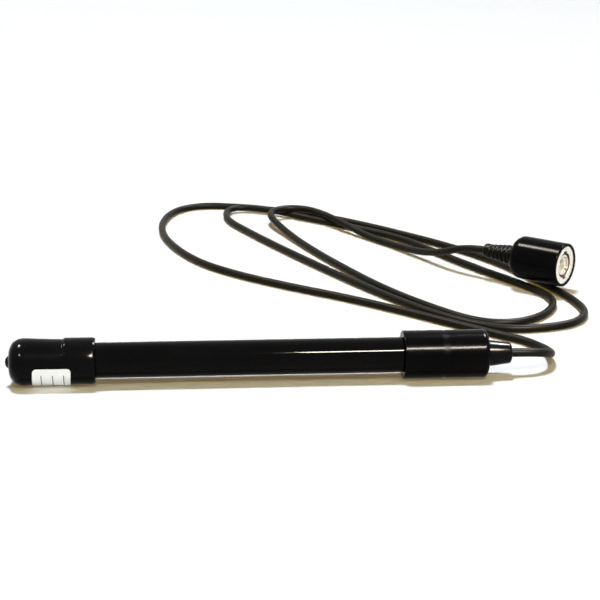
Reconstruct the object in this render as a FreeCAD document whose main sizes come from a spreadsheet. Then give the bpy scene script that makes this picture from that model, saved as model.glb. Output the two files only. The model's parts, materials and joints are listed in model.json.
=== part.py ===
"""Redox electrode: a capped 12 mm probe, its signal cable and a coaxial bayonet plug.

Millimetres. The probe lies along X with its cap at -X, and Z points up from the table.
Probe stations run from the tip of the cap's nub, plug stations from the cable's entry.
"""
import FreeCAD, Part
import math
import os
from types import SimpleNamespace

import Sketcher
from FreeCAD import Placement, Rotation, Vector

SIZES = {
    # Protective cap, soft vinyl, pushed over the tip
    "EndRadius": 8.2,
    "NubHeight": 1.25,
    "NubRadius": 1.8,
    "NubRound": 1.0,
    "CapRadius": 8.1,
    "CapLength": 28.7,
    "CapRound": 5.2,
    "CapEndWall": 2.35,
    "CapInnerRound": 1.5,
    "CapClearance": 0.05,
    "CollarLength": 10.4,
    "CollarRamp": 0.5,
    "WaistWidth": 1.4,
    "WaistDepth": 0.4,
    "LipRound": 0.8,
    "LabelSetback": 7.75,
    "LabelWidth": 13.0,
    "LabelThickness": 0.12,
    "LabelTurn": 78.0,
    "LabelRound": 1.3,
    # Electrode tube with its slotted guard
    "TubeRadius": 6.0,
    "TubeWall": 1.0,
    "SeatDepth": 0.25,
    "ShoulderRamp": 0.25,
    "TubeLength": 137.6,
    "TubeChamfer": 0.4,
    "TipGap": 4.8,
    "GuardSlotDepth": 8.6,
    "GuardSlotWidth": 4.0,
    # Pieces inside the tube
    "StemRadius": 2.8,
    "StemBore": 1.4,
    "StemSetback": 17.9,
    "StemSeal": 3.4,
    "StemRound": 0.7,
    "WellDepth": 5.3,
    "DiscRadius": 1.5,
    "DiscHeight": 0.5,
    "StudRadius": 0.5,
    "LeadRadius": 0.25,
    "FrontSealStart": 11.6,
    "SealLength": 6.0,
    "RearSealInset": 10.1,
    "OffsetRadius": 3.9,
    "JunctionRadius": 0.7,
    "JunctionProud": 0.3,
    "ReferenceRadius": 0.45,
    "ReferenceStart": 26.0,
    "ReferenceSetback": 5.0,
    "PelletRadius": 0.8,
    "PelletLength": 26.0,
    # Head with the cable's gland
    "HeadLength": 29.1,
    "HeadSocket": 12.5,
    "HeadRound": 1.8,
    "HeadEdge": 0.35,
    "HeadWall": 3.0,
    "HeadEndWall": 5.2,
    "BandOffset": 13.5,
    "BandWidth": 1.5,
    "BandDepth": 0.15,
    "RingOffset": 4.0,
    "RingThickness": 1.5,
    "RingSlack": 0.02,
    "GlandLength": 8.4,
    "GlandRadius": 3.9,
    "GlandTipRadius": 3.2,
    "GlandRound": 0.9,
    "GlandNeck": 3.0,
    "GlandFlangeRadius": 4.4,
    "GlandFlange": 1.8,
    "ClampLength": 3.2,
    "ClampRadius": 2.6,
    "StubInside": 2.4,
    "CoreRadius": 0.3,
    "SpliceGap": 2.4,
    "SpliceLength": 3.4,
    "SpliceWall": 0.4,
    "PigtailRadius": 0.35,
    "PigtailOffset": 1.05,
    "PigtailRun": 2.2,
    # Cable
    "CableRadius": 1.5,
    # Place of the plug on the table
    "PlugEntryX": 99.88,
    "PlugEntryY": 118.69,
    "PlugAxisHeight": 12.1,
    "PlugYaw": -42.0,
    # Ribbed boot
    "BootLength": 14.6,
    "BootTipRadius": 2.8,
    "BootRootRadius": 4.1,
    "BootCollar": 5.0,
    "BulbLength": 4.4,
    "BulbRound": 1.2,
    "RidgeGap": 0.8,
    "RidgeDepth": 0.5,
    # Turning grip and bayonet sleeve
    "GripLength": 22.5,
    "GripRadius": 8.75,
    "GripWall": 1.2,
    "GripBackRadius": 8.65,
    "GripBackRound": 4.0,
    "GripBackWall": 1.8,
    "GripFrontRound": 0.4,
    "GripLedge": 1.05,
    "BootGap": 0.3,
    "SleeveInset": 0.3,
    "SleeveLength": 15.0,
    "SleeveBore": 4.95,
    "SleeveFlange": 1.2,
    "SleeveFit": 0.08,
    "SleeveEdge": 0.3,
    "SlotWidth": 2.3,
    "SlotDepth": 0.8,
    "SlotEntry": 2.4,
    "SlotRise": 3.3,
    "SlotTurn": 80.0,
    "DetentRadius": 1.3,
    # Plug body and what it carries
    "BarrelRadius": 4.05,
    "BarrelBore": 3.4,
    "BarrelSetback": 0.7,
    "BarrelSlotWidth": 0.6,
    "BarrelSlotDepth": 6.0,
    "BodyFlange": 2.5,
    "BodyFlangeRadius": 4.65,
    "NeckRadius": 4.0,
    "FerruleSeat": 1.6,
    "FerruleSeatRadius": 2.9,
    "WebThickness": 1.4,
    "WebBore": 1.9,
    "WasherThickness": 0.5,
    "WasherFit": 0.1,
    "FaceGap": 0.05,
    "SpringHeight": 1.4,
    "SpringThickness": 0.3,
    "SpringFit": 0.2,
    "ClipThickness": 0.8,
    "ClipSeatRadius": 3.6,
    "ClipRadius": 4.75,
    "ClipTurn": 315.0,
    "GasketThickness": 1.2,
    "InsulatorSetback": 0.8,
    "InsulatorCup": 5.3,
    "InsulatorCupRadius": 2.45,
    "PinRadius": 0.675,
    "PinSetback": 1.3,
    "PinRound": 0.45,
    "PinCupRadius": 1.0,
    "PinCupLength": 4.1,
    "PinBoreDepth": 3.0,
    "FerruleLength": 9.0,
    "FerruleRadius": 2.2,
    "DielectricRadius": 0.9,
    "JacketRecess": 2.1,
}

# Centre line of the free cable, from the gland round its loops to the plug's boot
CABLE_ROUTE = [
    (85.5, 0.0, 8.2), (92.5, 0.0, 8.2), (99.5, 3.5, 6.6), (104.0, 12.0, 3.4),
    (104.0, 23.0, 1.6), (97.5, 33.0, 1.6), (88.5, 40.5, 1.6), (76.0, 53.0, 1.6),
    (59.5, 70.0, 1.6), (39.0, 89.0, 1.6), (18.5, 105.0, 1.6), (-1.0, 122.5, 1.6),
    (-17.5, 143.0, 1.6), (-29.5, 175.0, 1.6), (-33.0, 205.5, 1.6), (-27.0, 232.5, 1.6),
    (-14.5, 243.5, 1.6), (2.0, 241.5, 1.6), (22.0, 233.0, 1.6), (46.5, 217.5, 1.6),
    (71.0, 191.5, 1.6), (93.5, 163.5, 1.6), (110.5, 137.5, 1.6), (122.5, 105.0, 1.6),
    (129.3, 82.0, 1.6), (130.0, 64.5, 1.6), (122.0, 52.0, 1.6), (110.0, 47.0, 1.6),
    (96.0, 45.5, 1.6), (83.5, 51.5, 1.6), (69.5, 67.0, 1.6), (53.5, 93.5, 1.6),
    (34.5, 131.0, 1.6), (15.5, 172.0, 1.6), (6.0, 195.5, 1.6), (0.5, 211.0, 1.6),
    (-1.0, 220.5, 1.6), (1.0, 227.0, 1.6), (6.0, 231.0, 1.6), (12.5, 231.5, 1.6),
    (19.5, 228.5, 1.6), (30.0, 219.0, 1.6), (51.5, 202.0, 1.6), (74.0, 179.0, 1.6),
    (86.5, 152.0, 1.6), (100.5, 124.5, 1.6), (114.5, 100.0, 1.6), (120.0, 86.5, 1.6),
    (119.0, 74.5, 1.6), (112.0, 62.0, 1.6), (101.5, 54.0, 1.6), (91.0, 53.0, 1.6),
    (81.5, 59.0, 1.6), (70.0, 75.0, 1.6), (55.5, 100.5, 1.6), (41.0, 136.5, 1.6),
    (29.5, 170.0, 1.6), (23.0, 191.0, 2.8), (19.3, 202.5, 4.6), (18.0, 209.0, 5.6),
    (18.8, 215.5, 5.8), (22.3, 220.8, 5.8), (28.1, 223.2, 5.8), (34.3, 221.9, 5.8),
    (39.1, 217.0, 5.8), (44.5, 206.5, 5.6), (52.0, 191.0, 3.4), (59.5, 178.5, 1.6),
    (69.0, 165.0, 1.6), (78.5, 149.0, 4.2), (86.0, 134.0, 8.7), (92.5, 125.33, 12.1),
    (99.88, 118.69, 12.1),
]
ARC_SHARE = 0.45    # part of the shorter run that a bend takes up
RIDGES = 5          # ridges on the boot
GUARD_CUTS = 2      # cuts across the guard, each opens two slots
BARREL_CUTS = 2     # cuts across the contact barrel, each opens two slots
BAYONET_SLOTS = 2
SPRING_WAVES = 3
WAVE_POINTS = 24    # points that a wave washer's rim is drawn through
NEAR = 1e-5         # how close two places are when they count as one

doc = FreeCAD.newDocument("RedoxElectrode")
sheet = doc.addObject("Spreadsheet::Sheet", "Sizes")
parts = []


class Measure:
    """A number with the sheet expression that gives it."""

    def __init__(self, value, text):
        self.value = value
        self.text = text

    def __add__(self, other):
        other = measure(other)
        return Measure(self.value + other.value, f"{self.text} + {other.text}")

    def __sub__(self, other):
        other = measure(other)
        return Measure(self.value - other.value, f"{self.text} - ({other.text})")

    def __mul__(self, other):
        other = measure(other)
        return Measure(self.value * other.value, f"({self.text}) * ({other.text})")

    def __truediv__(self, other):
        other = measure(other)
        return Measure(self.value / other.value, f"({self.text}) / ({other.text})")

    def __neg__(self):
        return Measure(-self.value, f"-({self.text})")


def measure(number):
    """Give a plain number the form of a Measure."""
    if isinstance(number, Measure):
        return number
    return Measure(float(number), str(number))


def fill_sheet():
    """Write every driving size to its own named cell."""
    cells = {}
    for row, (name, value) in enumerate(SIZES.items(), start=1):
        sheet.set(f"A{row}", name)
        sheet.set(f"B{row}", str(value))
        sheet.setAlias(f"B{row}", name)
        cells[name] = Measure(value, f"Sizes.{name}")
    doc.recompute()
    return SimpleNamespace(**cells)


m = fill_sheet()
ZERO = measure(0)

# Stations along the probe
dome = m.NubHeight
cavity = dome + m.CapEndWall
cap_end = dome + m.CapLength
collar = cap_end - m.CollarLength
waist = collar - m.WaistWidth
waist_radius = m.CapRadius - m.WaistDepth
seat_radius = m.TubeRadius - m.SeatDepth
cap_bore = seat_radius + m.CapClearance
label_end = cap_end - m.LabelSetback
label_start = label_end - m.LabelWidth
tube_start = cavity + m.TipGap
tube_end = tube_start + m.TubeLength
tube_bore = m.TubeRadius - m.TubeWall
stem_start = tube_start + m.WellDepth
stem_end = tube_end - m.StemSetback
stud_end = stem_start + m.StemSeal
front_seal = tube_start + m.FrontSealStart
rear_seal = stem_end - m.RearSealInset
reference_start = tube_start + m.ReferenceStart
reference_end = tube_end - m.ReferenceSetback
head_start = tube_end - m.HeadSocket
head_end = head_start + m.HeadLength
ring_start = head_start + m.RingOffset
chamber_end = head_end - m.HeadEndWall
chamber_radius = m.EndRadius - m.HeadWall
probe_length = head_end + m.GlandLength
flange_start = chamber_end - m.GlandFlange
clamp_start = flange_start - m.ClampLength
stub_start = clamp_start - m.StubInside
splice_end = stub_start - m.SpliceGap
splice_start = splice_end - m.SpliceLength
lead_end = splice_end - m.SpliceLength / 2

# Stations along the plug
body_back = m.BootLength + m.BootCollar
grip_front = m.BootLength + m.GripLength
grip_bore = m.GripRadius - m.GripWall
sleeve_front = grip_front - m.SleeveInset
sleeve_back = sleeve_front - m.SleeveLength
washer_back = sleeve_back + m.SleeveFlange + m.FaceGap
washer_front = washer_back + m.WasherThickness
spring_back = washer_front + m.FaceGap
flange_back = spring_back + m.SpringHeight
flange_front = flange_back + m.BodyFlange
barrel_front = sleeve_front - m.BarrelSetback
web_back = body_back + m.FerruleSeat
web_front = web_back + m.WebThickness
clip_front = sleeve_back - m.FaceGap
clip_back = clip_front - m.ClipThickness
insulator_front = barrel_front - m.InsulatorSetback
cup_base = insulator_front - m.InsulatorCup
pin_front = barrel_front - m.PinSetback
pin_back = web_back + m.FaceGap
pin_step = pin_back + m.PinCupLength
core_end = pin_back + m.PinBoreDepth
ferrule_back = body_back - m.FerruleLength
jacket_end = body_back - m.JacketRecess


def bind(thing, path, value):
    """Tie a property to the sheet."""
    thing.setExpression(path, measure(value).text)


def on_probe(thing, turn=0.0, height=ZERO):
    """Place a piece on the probe's axis, or at a height above it."""
    thing.Placement = Placement(Vector(0, 0, 0), Rotation(Vector(1, 0, 0), turn))
    bind(thing, "Placement.Base.x", -probe_length / 2)
    bind(thing, "Placement.Base.z", m.EndRadius + height)


def beside_stem(thing, turn=0.0):
    """Place a piece on the reference side, between the stem and the tube."""
    on_probe(thing, turn, m.OffsetRadius)


def on_plug(thing, turn=0.0):
    """Place a piece on the plug's axis."""
    yaw = Rotation(Vector(0, 0, 1), m.PlugYaw.value)
    thing.Placement = Placement(Vector(0, 0, 0), yaw * Rotation(Vector(1, 0, 0), turn))
    bind(thing, "Placement.Base.x", m.PlugEntryX)
    bind(thing, "Placement.Base.y", m.PlugEntryY)
    bind(thing, "Placement.Base.z", m.PlugAxisHeight)


def keep(thing, label, place, turn=0.0):
    """Name a finished piece, place it and list it for writing."""
    thing.Label = label
    place(thing, turn)
    parts.append(thing)


def plane(body, role):
    """One of a body's own origin planes or axes."""
    return next(feature for feature in body.Origin.OriginFeatures if feature.Role == role)


def new_sketch(body, name, role="XY_Plane"):
    """An empty sketch on one of the body's origin planes."""
    sketch = body.newObject("Sketcher::SketchObject", name)
    sketch.AttachmentSupport = [(plane(body, role), "")]
    sketch.MapMode = "FlatFace"
    return sketch


def hold(sketch, kind, geometry, point, value):
    """Fix one coordinate of a sketch point to a measure."""
    axis = -2 if kind == "DistanceX" else -1
    if abs(value.value) < 1e-9:
        sketch.addConstraint(Sketcher.Constraint("PointOnObject", geometry, point, axis))
        return
    ends = (-1, 1, geometry, point) if value.value > 0 else (geometry, point, -1, 1)
    shown = value if value.value > 0 else -value
    index = sketch.addConstraint(Sketcher.Constraint(kind, *ends, shown.value))
    sketch.setExpression(f"Constraints[{index}]", shown.text)


def outline(sketch, points):
    """A closed outline of straight lines through held points."""
    points = [(measure(x), measure(y)) for x, y in points]
    flat = [Vector(x.value, y.value, 0) for x, y in points]
    count = len(flat)
    for index in range(count):
        sketch.addGeometry(Part.LineSegment(flat[index], flat[(index + 1) % count]), False)
    for index in range(count):
        after = (index + 1) % count
        sketch.addConstraint(Sketcher.Constraint("Coincident", index, 2, after, 1))
    for index, (x, y) in enumerate(points):
        hold(sketch, "DistanceX", index, 1, x)
        hold(sketch, "DistanceY", index, 1, y)


def turned(name, points, sweep=None):
    """A body revolved about its own X axis from an outline of stations and radii."""
    body = doc.addObject("PartDesign::Body", name)
    sketch = new_sketch(body, name + "_outline")
    outline(sketch, points)
    solid = body.newObject("PartDesign::Revolution", name + "_turned")
    solid.Profile = sketch
    solid.ReferenceAxis = (sketch, ["H_Axis"])
    solid.Angle = 360.0
    if sweep is not None:
        bind(solid, "Angle", sweep)
    doc.recompute()
    return body


def ring(name, start, end, inner, outer):
    """A plain turned ring or tube."""
    return turned(name, [(start, inner), (start, outer), (end, outer), (end, inner)])


def rod(name, start, end, radius):
    """A plain turned rod."""
    return ring(name, start, end, ZERO, radius)


def edges_at(shape, station, radius):
    """Names of the circular edges at a station with a radius."""
    names = []
    for index, edge in enumerate(shape.Edges, start=1):
        if not isinstance(edge.Curve, Part.Circle):
            continue
        same_radius = abs(edge.Curve.Radius - radius.value) < NEAR
        same_place = abs(edge.Curve.Center.x - station.value) < NEAR
        if same_radius and same_place:
            names.append(f"Edge{index}")
    return names


def soften(body, kind, size, station, radius):
    """Fillet or chamfer the round edge at a station."""
    base = body.Tip
    names = edges_at(base.Shape, measure(station), measure(radius))
    if not names:
        raise ValueError(f"{body.Name}: no edge to soften")
    feature = body.newObject(f"PartDesign::{kind}", f"{body.Name}_{kind}")
    feature.Base = (base, names)
    bind(feature, "Radius" if kind == "Fillet" else "Size", size)
    doc.recompute()


def pocket_through(body, name, sketch):
    """Cut a sketch right through a body, both ways."""
    before = body.Shape.Volume
    cut = body.newObject("PartDesign::Pocket", name)
    cut.Profile = sketch
    cut.Type = "ThroughAll"
    cut.Midplane = True
    doc.recompute()
    if body.Shape.Volume > before - 1e-4:
        raise ValueError(f"{name} cuts nothing")
    return cut


def cross_slots(body, name, points, cuts):
    """Cut an outline across a body, evenly round its X axis."""
    sketch = new_sketch(body, name + "_outline", "XZ_Plane")
    outline(sketch, points)
    cut = pocket_through(body, name, sketch)
    pattern = body.newObject("PartDesign::PolarPattern", name + "_round")
    pattern.Originals = [cut]
    pattern.Axis = (plane(body, "X_Axis"), [""])
    pattern.Angle = 180.0 * (cuts - 1) / cuts
    pattern.Occurrences = cuts
    body.Tip = pattern
    doc.recompute()


def drill(body, name, height, radius):
    """Drill a hole along X through a body, at a height above its axis."""
    sketch = new_sketch(body, name + "_outline", "YZ_Plane")
    centre = Vector(0, height.value, 0)
    sketch.addGeometry(Part.Circle(centre, Vector(0, 0, 1), radius.value), False)
    hold(sketch, "DistanceX", 0, 3, ZERO)
    hold(sketch, "DistanceY", 0, 3, height)
    index = sketch.addConstraint(Sketcher.Constraint("Radius", 0, radius.value))
    sketch.setExpression(f"Constraints[{index}]", radius.text)
    doc.recompute()
    pocket_through(body, name, sketch)


def shaped(name, shape):
    """A piece whose shape is worked out here."""
    feature = doc.addObject("Part::Feature", name)
    feature.Shape = shape
    return feature


def rounded_path(points):
    """Straight runs joined by tangent arcs, with the radii of the arcs."""
    edges = []
    radii = []
    last = points[0]
    for before, point, after in zip(points, points[1:], points[2:]):
        back = before - point
        ahead = after - point
        reach = ARC_SHARE * min(back.Length, ahead.Length)
        half_turn = (math.pi - back.getAngle(ahead)) / 2
        radius = reach / math.tan(half_turn)
        back.normalize()
        ahead.normalize()
        inward = (back + ahead).normalize()
        start = point + back * reach
        end = point + ahead * reach
        middle = point + inward * (radius / math.cos(half_turn) - radius)
        edges.append(Part.LineSegment(last, start).toShape())
        edges.append(Part.Arc(start, middle, end).toShape())
        radii.append(radius)
        last = end
    edges.append(Part.LineSegment(last, points[-1]).toShape())
    return Part.Wire(edges), radii


def swept_tube(points, radius):
    """A round tube along a rounded path, with its length and its arcs' radii."""
    path, radii = rounded_path(points)
    section = Part.Circle(points[0], points[1] - points[0], radius).toShape()
    tube = path.makePipeShell([Part.Wire(section)], True, False)
    if tube.Volume < 0:
        tube.reverse()
    return tube, path.Length, radii


# The probe's pieces


def protective_cap():
    """Soft cap: a nub, a rounded end, a slight taper to its waist and a thicker collar."""
    body = turned("ProtectiveCap", [
        (ZERO, ZERO),
        (ZERO, m.NubRadius),
        (dome, m.NubRadius),
        (dome, m.CapRadius),
        (waist, waist_radius),
        (collar, waist_radius),
        (collar + m.CollarRamp, m.EndRadius),
        (cap_end, m.EndRadius),
        (cap_end, cap_bore),
        (cavity, cap_bore),
        (cavity, ZERO),
    ])
    soften(body, "Fillet", m.CapRound, dome, m.CapRadius)
    soften(body, "Fillet", m.NubRound, ZERO, m.NubRadius)
    soften(body, "Fillet", m.LipRound, cap_end, m.EndRadius)
    soften(body, "Fillet", m.CapInnerRound, cavity, cap_bore)
    keep(body, "protective_cap", on_probe)


def cap_label():
    """Thin label with round corners, wrapped down round the front of the cap."""
    taper = m.WaistDepth * (label_start - dome) / (waist - dome)
    inner = [
        (label_start, m.CapRadius - taper),
        (waist, waist_radius),
        (collar, waist_radius),
        (collar + m.CollarRamp, m.EndRadius),
        (label_end, m.EndRadius),
    ]
    outer = [(station, radius + m.LabelThickness) for station, radius in reversed(inner)]
    body = turned("CapLabel", inner + outer, m.LabelTurn)
    base = body.Tip
    corners = []
    for index, edge in enumerate(base.Shape.Edges, start=1):
        station = edge.CenterOfMass.x
        at_end = min(abs(station - end.value) for end in (label_start, label_end)) < NEAR
        if at_end and abs(edge.Length - m.LabelThickness.value) < NEAR:
            corners.append(f"Edge{index}")
    rounded = body.newObject("PartDesign::Fillet", "CapLabel_corners")
    rounded.Base = (base, corners)
    bind(rounded, "Radius", m.LabelRound)
    doc.recompute()
    keep(body, "cap_label", on_probe, 180)


def electrode_tube():
    """Probe body: a shaft between a seat for the cap and a spigot for the head.

    Its open end is slotted into four guard fingers.
    """
    body = turned("ElectrodeTube", [
        (tube_start, tube_bore),
        (tube_start, seat_radius),
        (cap_end, seat_radius),
        (cap_end + m.ShoulderRamp, m.TubeRadius),
        (head_start - m.ShoulderRamp, m.TubeRadius),
        (head_start, seat_radius),
        (tube_end, seat_radius),
        (tube_end, tube_bore),
    ])
    soften(body, "Chamfer", m.TubeChamfer, tube_start, seat_radius)
    half = m.GuardSlotWidth / 2
    deep = tube_start + m.GuardSlotDepth
    cross_slots(body, "GuardSlots", [
        (tube_start - half, -half),
        (deep, -half),
        (deep + half, -half / 2),
        (deep + half, half / 2),
        (deep, half),
        (tube_start - half, half),
    ], GUARD_CUTS)
    keep(body, "electrode_tube", on_probe)


def stem_and_tip():
    """Inner glass tube, the platinum tip sealed in its end, and the tip's lead."""
    stem = turned("GlassStem", [
        (stem_start, m.StudRadius),
        (stem_start, m.StemRadius),
        (stem_end, m.StemRadius),
        (stem_end, m.StemBore),
        (stud_end, m.StemBore),
        (stud_end, m.StudRadius),
    ])
    soften(stem, "Fillet", m.StemRound, stem_start, m.StemRadius)
    keep(stem, "glass_stem", on_probe)
    tip = turned("PlatinumTip", [
        (stem_start - m.DiscHeight, ZERO),
        (stem_start - m.DiscHeight, m.DiscRadius),
        (stem_start, m.DiscRadius),
        (stem_start, m.StudRadius),
        (stud_end, m.StudRadius),
        (stud_end, ZERO),
    ])
    keep(tip, "platinum_tip", on_probe)
    keep(rod("PlatinumLead", stud_end, lead_end, m.LeadRadius), "platinum_lead", on_probe)


def seals():
    """The two seals that hold the stem, with the porous junction through the front one."""
    front = ring("FrontSeal", front_seal, front_seal + m.SealLength, m.StemRadius, tube_bore)
    drill(front, "JunctionHole", m.OffsetRadius, m.JunctionRadius)
    keep(front, "front_seal", on_probe)
    rear = ring("RearSeal", rear_seal, rear_seal + m.SealLength, m.StemRadius, tube_bore)
    drill(rear, "WireHole", m.OffsetRadius, m.ReferenceRadius)
    keep(rear, "rear_seal", on_probe)
    junction_start = front_seal - m.JunctionProud
    junction_end = front_seal + m.SealLength
    junction = rod("JunctionPlug", junction_start, junction_end, m.JunctionRadius)
    keep(junction, "junction_plug", beside_stem)


def reference_electrode():
    """Silver wire with its pellet, running back through the rear seal."""
    wire = rod("ReferenceWire", reference_start, reference_end, m.ReferenceRadius)
    keep(wire, "reference_wire", beside_stem)
    pellet_end = reference_start + m.PelletLength
    pellet = ring("ReferencePellet", reference_start, pellet_end, m.ReferenceRadius, m.PelletRadius)
    keep(pellet, "reference_pellet", beside_stem)


def splice(name, start, first_radius, second_radius):
    """A crimped sleeve over the ends of two wires, with a bore for each."""
    middle = start + m.SpliceLength / 2
    end = start + m.SpliceLength
    outer = second_radius + m.SpliceWall
    return turned(name, [
        (start, first_radius),
        (start, outer),
        (end, outer),
        (end, second_radius),
        (middle, second_radius),
        (middle, first_radius),
    ])


def head_wiring():
    """The cable's end in the head, joined to the signal lead and the reference wire."""
    jacket = rod("HeadCableEnd", stub_start, probe_length, m.CableRadius)
    keep(jacket, "head_cable_end", on_probe)
    keep(rod("HeadCore", lead_end, stub_start, m.CoreRadius), "head_core_wire", on_probe)
    joint = splice("SignalSplice", splice_start, m.LeadRadius, m.CoreRadius)
    keep(joint, "signal_splice", on_probe)
    joint = splice("ScreenSplice", reference_end - m.SpliceLength / 2, m.ReferenceRadius, m.PigtailRadius)
    keep(joint, "screen_splice", beside_stem)
    low = m.PigtailOffset.value
    high = m.OffsetRadius.value
    run = m.PigtailRun.value
    bends = [
        Vector(stub_start.value, 0, low),
        Vector(stub_start.value - run, 0, low),
        Vector(reference_end.value + run, 0, high),
        Vector(reference_end.value, 0, high),
    ]
    pigtail, _, _ = swept_tube(bends, m.PigtailRadius.value)
    keep(shaped("ScreenPigtail", pigtail), "screen_pigtail", on_probe)


def head_shell():
    """Head: socket for the tube, O-ring groove, wiring chamber and end wall."""
    band = head_start + m.BandOffset
    band_end = band + m.BandWidth
    band_floor = m.EndRadius - m.BandDepth
    groove = ring_start - m.RingSlack
    groove_end = ring_start + m.RingThickness + m.RingSlack
    groove_floor = seat_radius + m.RingThickness + m.RingSlack
    body = turned("HeadShell", [
        (head_start, seat_radius),
        (head_start, m.EndRadius),
        (band, m.EndRadius),
        (band, band_floor),
        (band_end, band_floor),
        (band_end, m.EndRadius),
        (head_end, m.EndRadius),
        (head_end, m.GlandNeck),
        (chamber_end, m.GlandNeck),
        (chamber_end, chamber_radius),
        (tube_end, chamber_radius),
        (tube_end, seat_radius),
        (groove_end, seat_radius),
        (groove_end, groove_floor),
        (groove, groove_floor),
        (groove, seat_radius),
    ])
    soften(body, "Fillet", m.HeadRound, head_end, m.EndRadius)
    soften(body, "Fillet", m.HeadEdge, head_start, m.EndRadius)
    keep(body, "head_shell", on_probe)


def o_ring():
    """Sealing ring between the tube and the head."""
    torus = doc.addObject("Part::Torus", "ORing")
    bind(torus, "Radius1", seat_radius + m.RingThickness / 2)
    bind(torus, "Radius2", m.RingThickness / 2)
    torus.Label = "o_ring"
    torus.Placement = Placement(Vector(0, 0, 0), Rotation(Vector(0, 1, 0), 90))
    centre = ring_start + m.RingThickness / 2
    bind(torus, "Placement.Base.x", centre - probe_length / 2)
    bind(torus, "Placement.Base.z", m.EndRadius)
    parts.append(torus)


def cable_gland():
    """Strain relief: a flange inside the head, a neck and a tapered stub outside."""
    body = turned("CableGland", [
        (flange_start, m.CableRadius),
        (flange_start, m.GlandFlangeRadius),
        (chamber_end, m.GlandFlangeRadius),
        (chamber_end, m.GlandNeck),
        (head_end, m.GlandNeck),
        (head_end, m.GlandRadius),
        (probe_length, m.GlandTipRadius),
        (probe_length, m.CableRadius),
    ])
    soften(body, "Fillet", m.GlandRound, probe_length, m.GlandTipRadius)
    keep(body, "cable_gland", on_probe)
    clamp = ring("CableClamp", clamp_start, flange_start, m.CableRadius, m.ClampRadius)
    keep(clamp, "cable_clamp", on_probe)


# The cable


def cable():
    """Free cable from the gland to the plug's boot."""
    points = [Vector(*point) for point in CABLE_ROUTE]
    points[0] = Vector((probe_length / 2).value, 0, m.EndRadius.value)
    points[-1] = Vector(m.PlugEntryX.value, m.PlugEntryY.value, m.PlugAxisHeight.value)
    radius = m.CableRadius.value
    tube, length, radii = swept_tube(points, radius)
    expected = math.pi * radius ** 2 * length
    print(f"cable length {length:.1f} mm, volume {tube.Volume:.1f} of {expected:.1f} mm3")
    print("bend radii", " ".join(f"{value:.1f}" for value in radii))
    if abs(tube.Volume / expected - 1) > 0.01:
        raise ValueError("the cable's volume doesn't match its length")
    feature = shaped("Cable", tube)
    feature.Label = "cable"
    parts.append(feature)


# The plug's pieces


def cable_boot():
    """Boot with a bulb and growing ridges, moulded over the cable and the crimp ferrule."""
    pitch = (m.BootLength - m.BulbLength) / RIDGES
    rise = (m.BootRootRadius - m.BootTipRadius) / RIDGES
    neck = m.BootTipRadius - m.RidgeDepth
    points = [
        (ZERO, m.CableRadius),
        (ZERO, m.BootTipRadius),
        (m.BulbLength - m.RidgeGap, m.BootTipRadius),
        (m.BulbLength - m.RidgeGap, neck),
        (m.BulbLength, neck),
    ]
    for index in range(RIDGES):
        start = m.BulbLength + pitch * index
        end = start + pitch - m.RidgeGap
        crest = m.BootTipRadius + rise * (index + 1)
        points += [
            (start, crest),
            (end, crest),
            (end, crest - m.RidgeDepth),
            (start + pitch, crest - m.RidgeDepth),
        ]
    points += [
        (m.BootLength, m.BootRootRadius),
        (body_back, m.BootRootRadius),
        (body_back, m.FerruleRadius),
        (ferrule_back, m.FerruleRadius),
        (ferrule_back, m.CableRadius),
    ]
    body = turned("CableBoot", points)
    soften(body, "Fillet", m.BulbRound, ZERO, m.BootTipRadius)
    keep(body, "cable_boot", on_plug)


def plug_cable_end():
    """The cable's end inside the plug: jacket, dielectric and core."""
    keep(rod("PlugJacket", ZERO, jacket_end, m.CableRadius), "plug_cable_end", on_plug)
    dielectric = ring("PlugDielectric", jacket_end, pin_back, m.CoreRadius, m.DielectricRadius)
    keep(dielectric, "plug_dielectric", on_plug)
    keep(rod("PlugCore", jacket_end, core_end, m.CoreRadius), "plug_core_wire", on_plug)


def crimp_ferrule():
    """Ferrule that clamps the cable, with its head in the plug body."""
    body = turned("CrimpFerrule", [
        (ferrule_back, m.CableRadius),
        (ferrule_back, m.FerruleRadius),
        (body_back, m.FerruleRadius),
        (body_back, m.FerruleSeatRadius),
        (web_back, m.FerruleSeatRadius),
        (web_back, m.CableRadius),
    ])
    keep(body, "crimp_ferrule", on_plug)


def plug_body():
    """Nickel body: clip groove, neck, flange and slotted contact barrel."""
    body = turned("PlugBody", [
        (body_back, m.FerruleSeatRadius),
        (body_back, m.NeckRadius),
        (clip_back, m.NeckRadius),
        (clip_back, m.ClipSeatRadius),
        (clip_front, m.ClipSeatRadius),
        (clip_front, m.NeckRadius),
        (flange_back, m.NeckRadius),
        (flange_back, m.BodyFlangeRadius),
        (flange_front, m.BodyFlangeRadius),
        (flange_front, m.BarrelRadius),
        (barrel_front, m.BarrelRadius),
        (barrel_front, m.BarrelBore),
        (web_front, m.BarrelBore),
        (web_front, m.WebBore),
        (web_back, m.WebBore),
        (web_back, m.FerruleSeatRadius),
    ])
    half = m.BarrelSlotWidth / 2
    deep = barrel_front - m.BarrelSlotDepth
    cross_slots(body, "BarrelSlots", [
        (deep, -half),
        (barrel_front + half, -half),
        (barrel_front + half, half),
        (deep, half),
    ], BARREL_CUTS)
    keep(body, "plug_body", on_plug, 45)


def insulator():
    """White insulator, cupped round the front of the pin."""
    body = turned("Insulator", [
        (web_front, m.PinCupRadius),
        (web_front, m.BarrelBore),
        (insulator_front, m.BarrelBore),
        (insulator_front, m.InsulatorCupRadius),
        (cup_base, m.InsulatorCupRadius),
        (cup_base, m.PinRadius),
        (pin_step, m.PinRadius),
        (pin_step, m.PinCupRadius),
    ])
    keep(body, "insulator", on_plug)


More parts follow.
